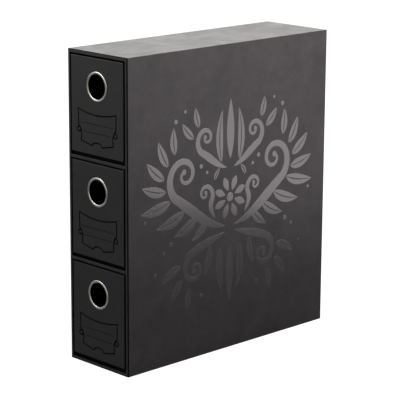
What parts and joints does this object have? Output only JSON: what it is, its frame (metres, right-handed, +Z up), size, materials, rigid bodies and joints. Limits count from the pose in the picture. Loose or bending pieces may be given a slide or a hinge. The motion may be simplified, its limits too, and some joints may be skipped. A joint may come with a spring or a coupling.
{
  "type": "trading card drawer box",
  "caption": "Tall slim board casing covered in black paper, with pull-out card drawers one above the other, each front with a metal finger ring over a pressed label outline.",
  "frame": {"origin": "middle of the whole footprint, finger rings included, on the surface that the box stands on", "axes": "+Z up, -Y out of the drawer fronts, +X to the right as seen from the front"},
  "size_m": [0.082, 0.2684, 0.3016],
  "materials": {
    "cover_paper": "matte laminated black covering paper",
    "front_paper": "matte laminated black paper on greyboard",
    "casing_board": "solid black board, raw",
    "tray_board": "solid black board, uncoated",
    "ring_steel": "plated pressed steel, satin"
  },
  "bodies": {
    "casing": {"left_board": "casing_board", "right_board": "casing_board", "base_board": "casing_board", "top_board": "casing_board", "back_board": "casing_board", "left_cover": "cover_paper", "right_cover": "cover_paper", "base_cover": "cover_paper", "top_cover": "cover_paper", "back_cover": "cover_paper", "lower_shelf_board": "casing_board", "lower_shelf_cover": "cover_paper", "upper_shelf_board": "casing_board", "upper_shelf_cover": "cover_paper"},
    "top_drawer": {"top_tray_base": "tray_board", "top_tray_left_side": "tray_board", "top_tray_right_side": "tray_board", "top_tray_front": "tray_board", "top_tray_back": "tray_board", "top_drawer_front": "front_paper", "top_finger_ring": "ring_steel", "top_ring_washer": "ring_steel"},
    "middle_drawer": {"middle_tray_base": "tray_board", "middle_tray_left_side": "tray_board", "middle_tray_right_side": "tray_board", "middle_tray_front": "tray_board", "middle_tray_back": "tray_board", "middle_drawer_front": "front_paper", "middle_finger_ring": "ring_steel", "middle_ring_washer": "ring_steel"},
    "bottom_drawer": {"bottom_tray_base": "tray_board", "bottom_tray_left_side": "tray_board", "bottom_tray_right_side": "tray_board", "bottom_tray_front": "tray_board", "bottom_tray_back": "tray_board", "bottom_drawer_front": "front_paper", "bottom_finger_ring": "ring_steel", "bottom_ring_washer": "ring_steel"}
  },
  "joints": [
    {"name": "top_drawer_slide", "type": "slide", "parent": "casing", "child": "top_drawer", "axis": [0, -1, 0], "range_m": [0, 0.26]},
    {"name": "middle_drawer_slide", "type": "slide", "parent": "casing", "child": "middle_drawer", "axis": [0, -1, 0], "range_m": [0, 0.26]},
    {"name": "bottom_drawer_slide", "type": "slide", "parent": "casing", "child": "bottom_drawer", "axis": [0, -1, 0], "range_m": [0, 0.26]}
  ]
}
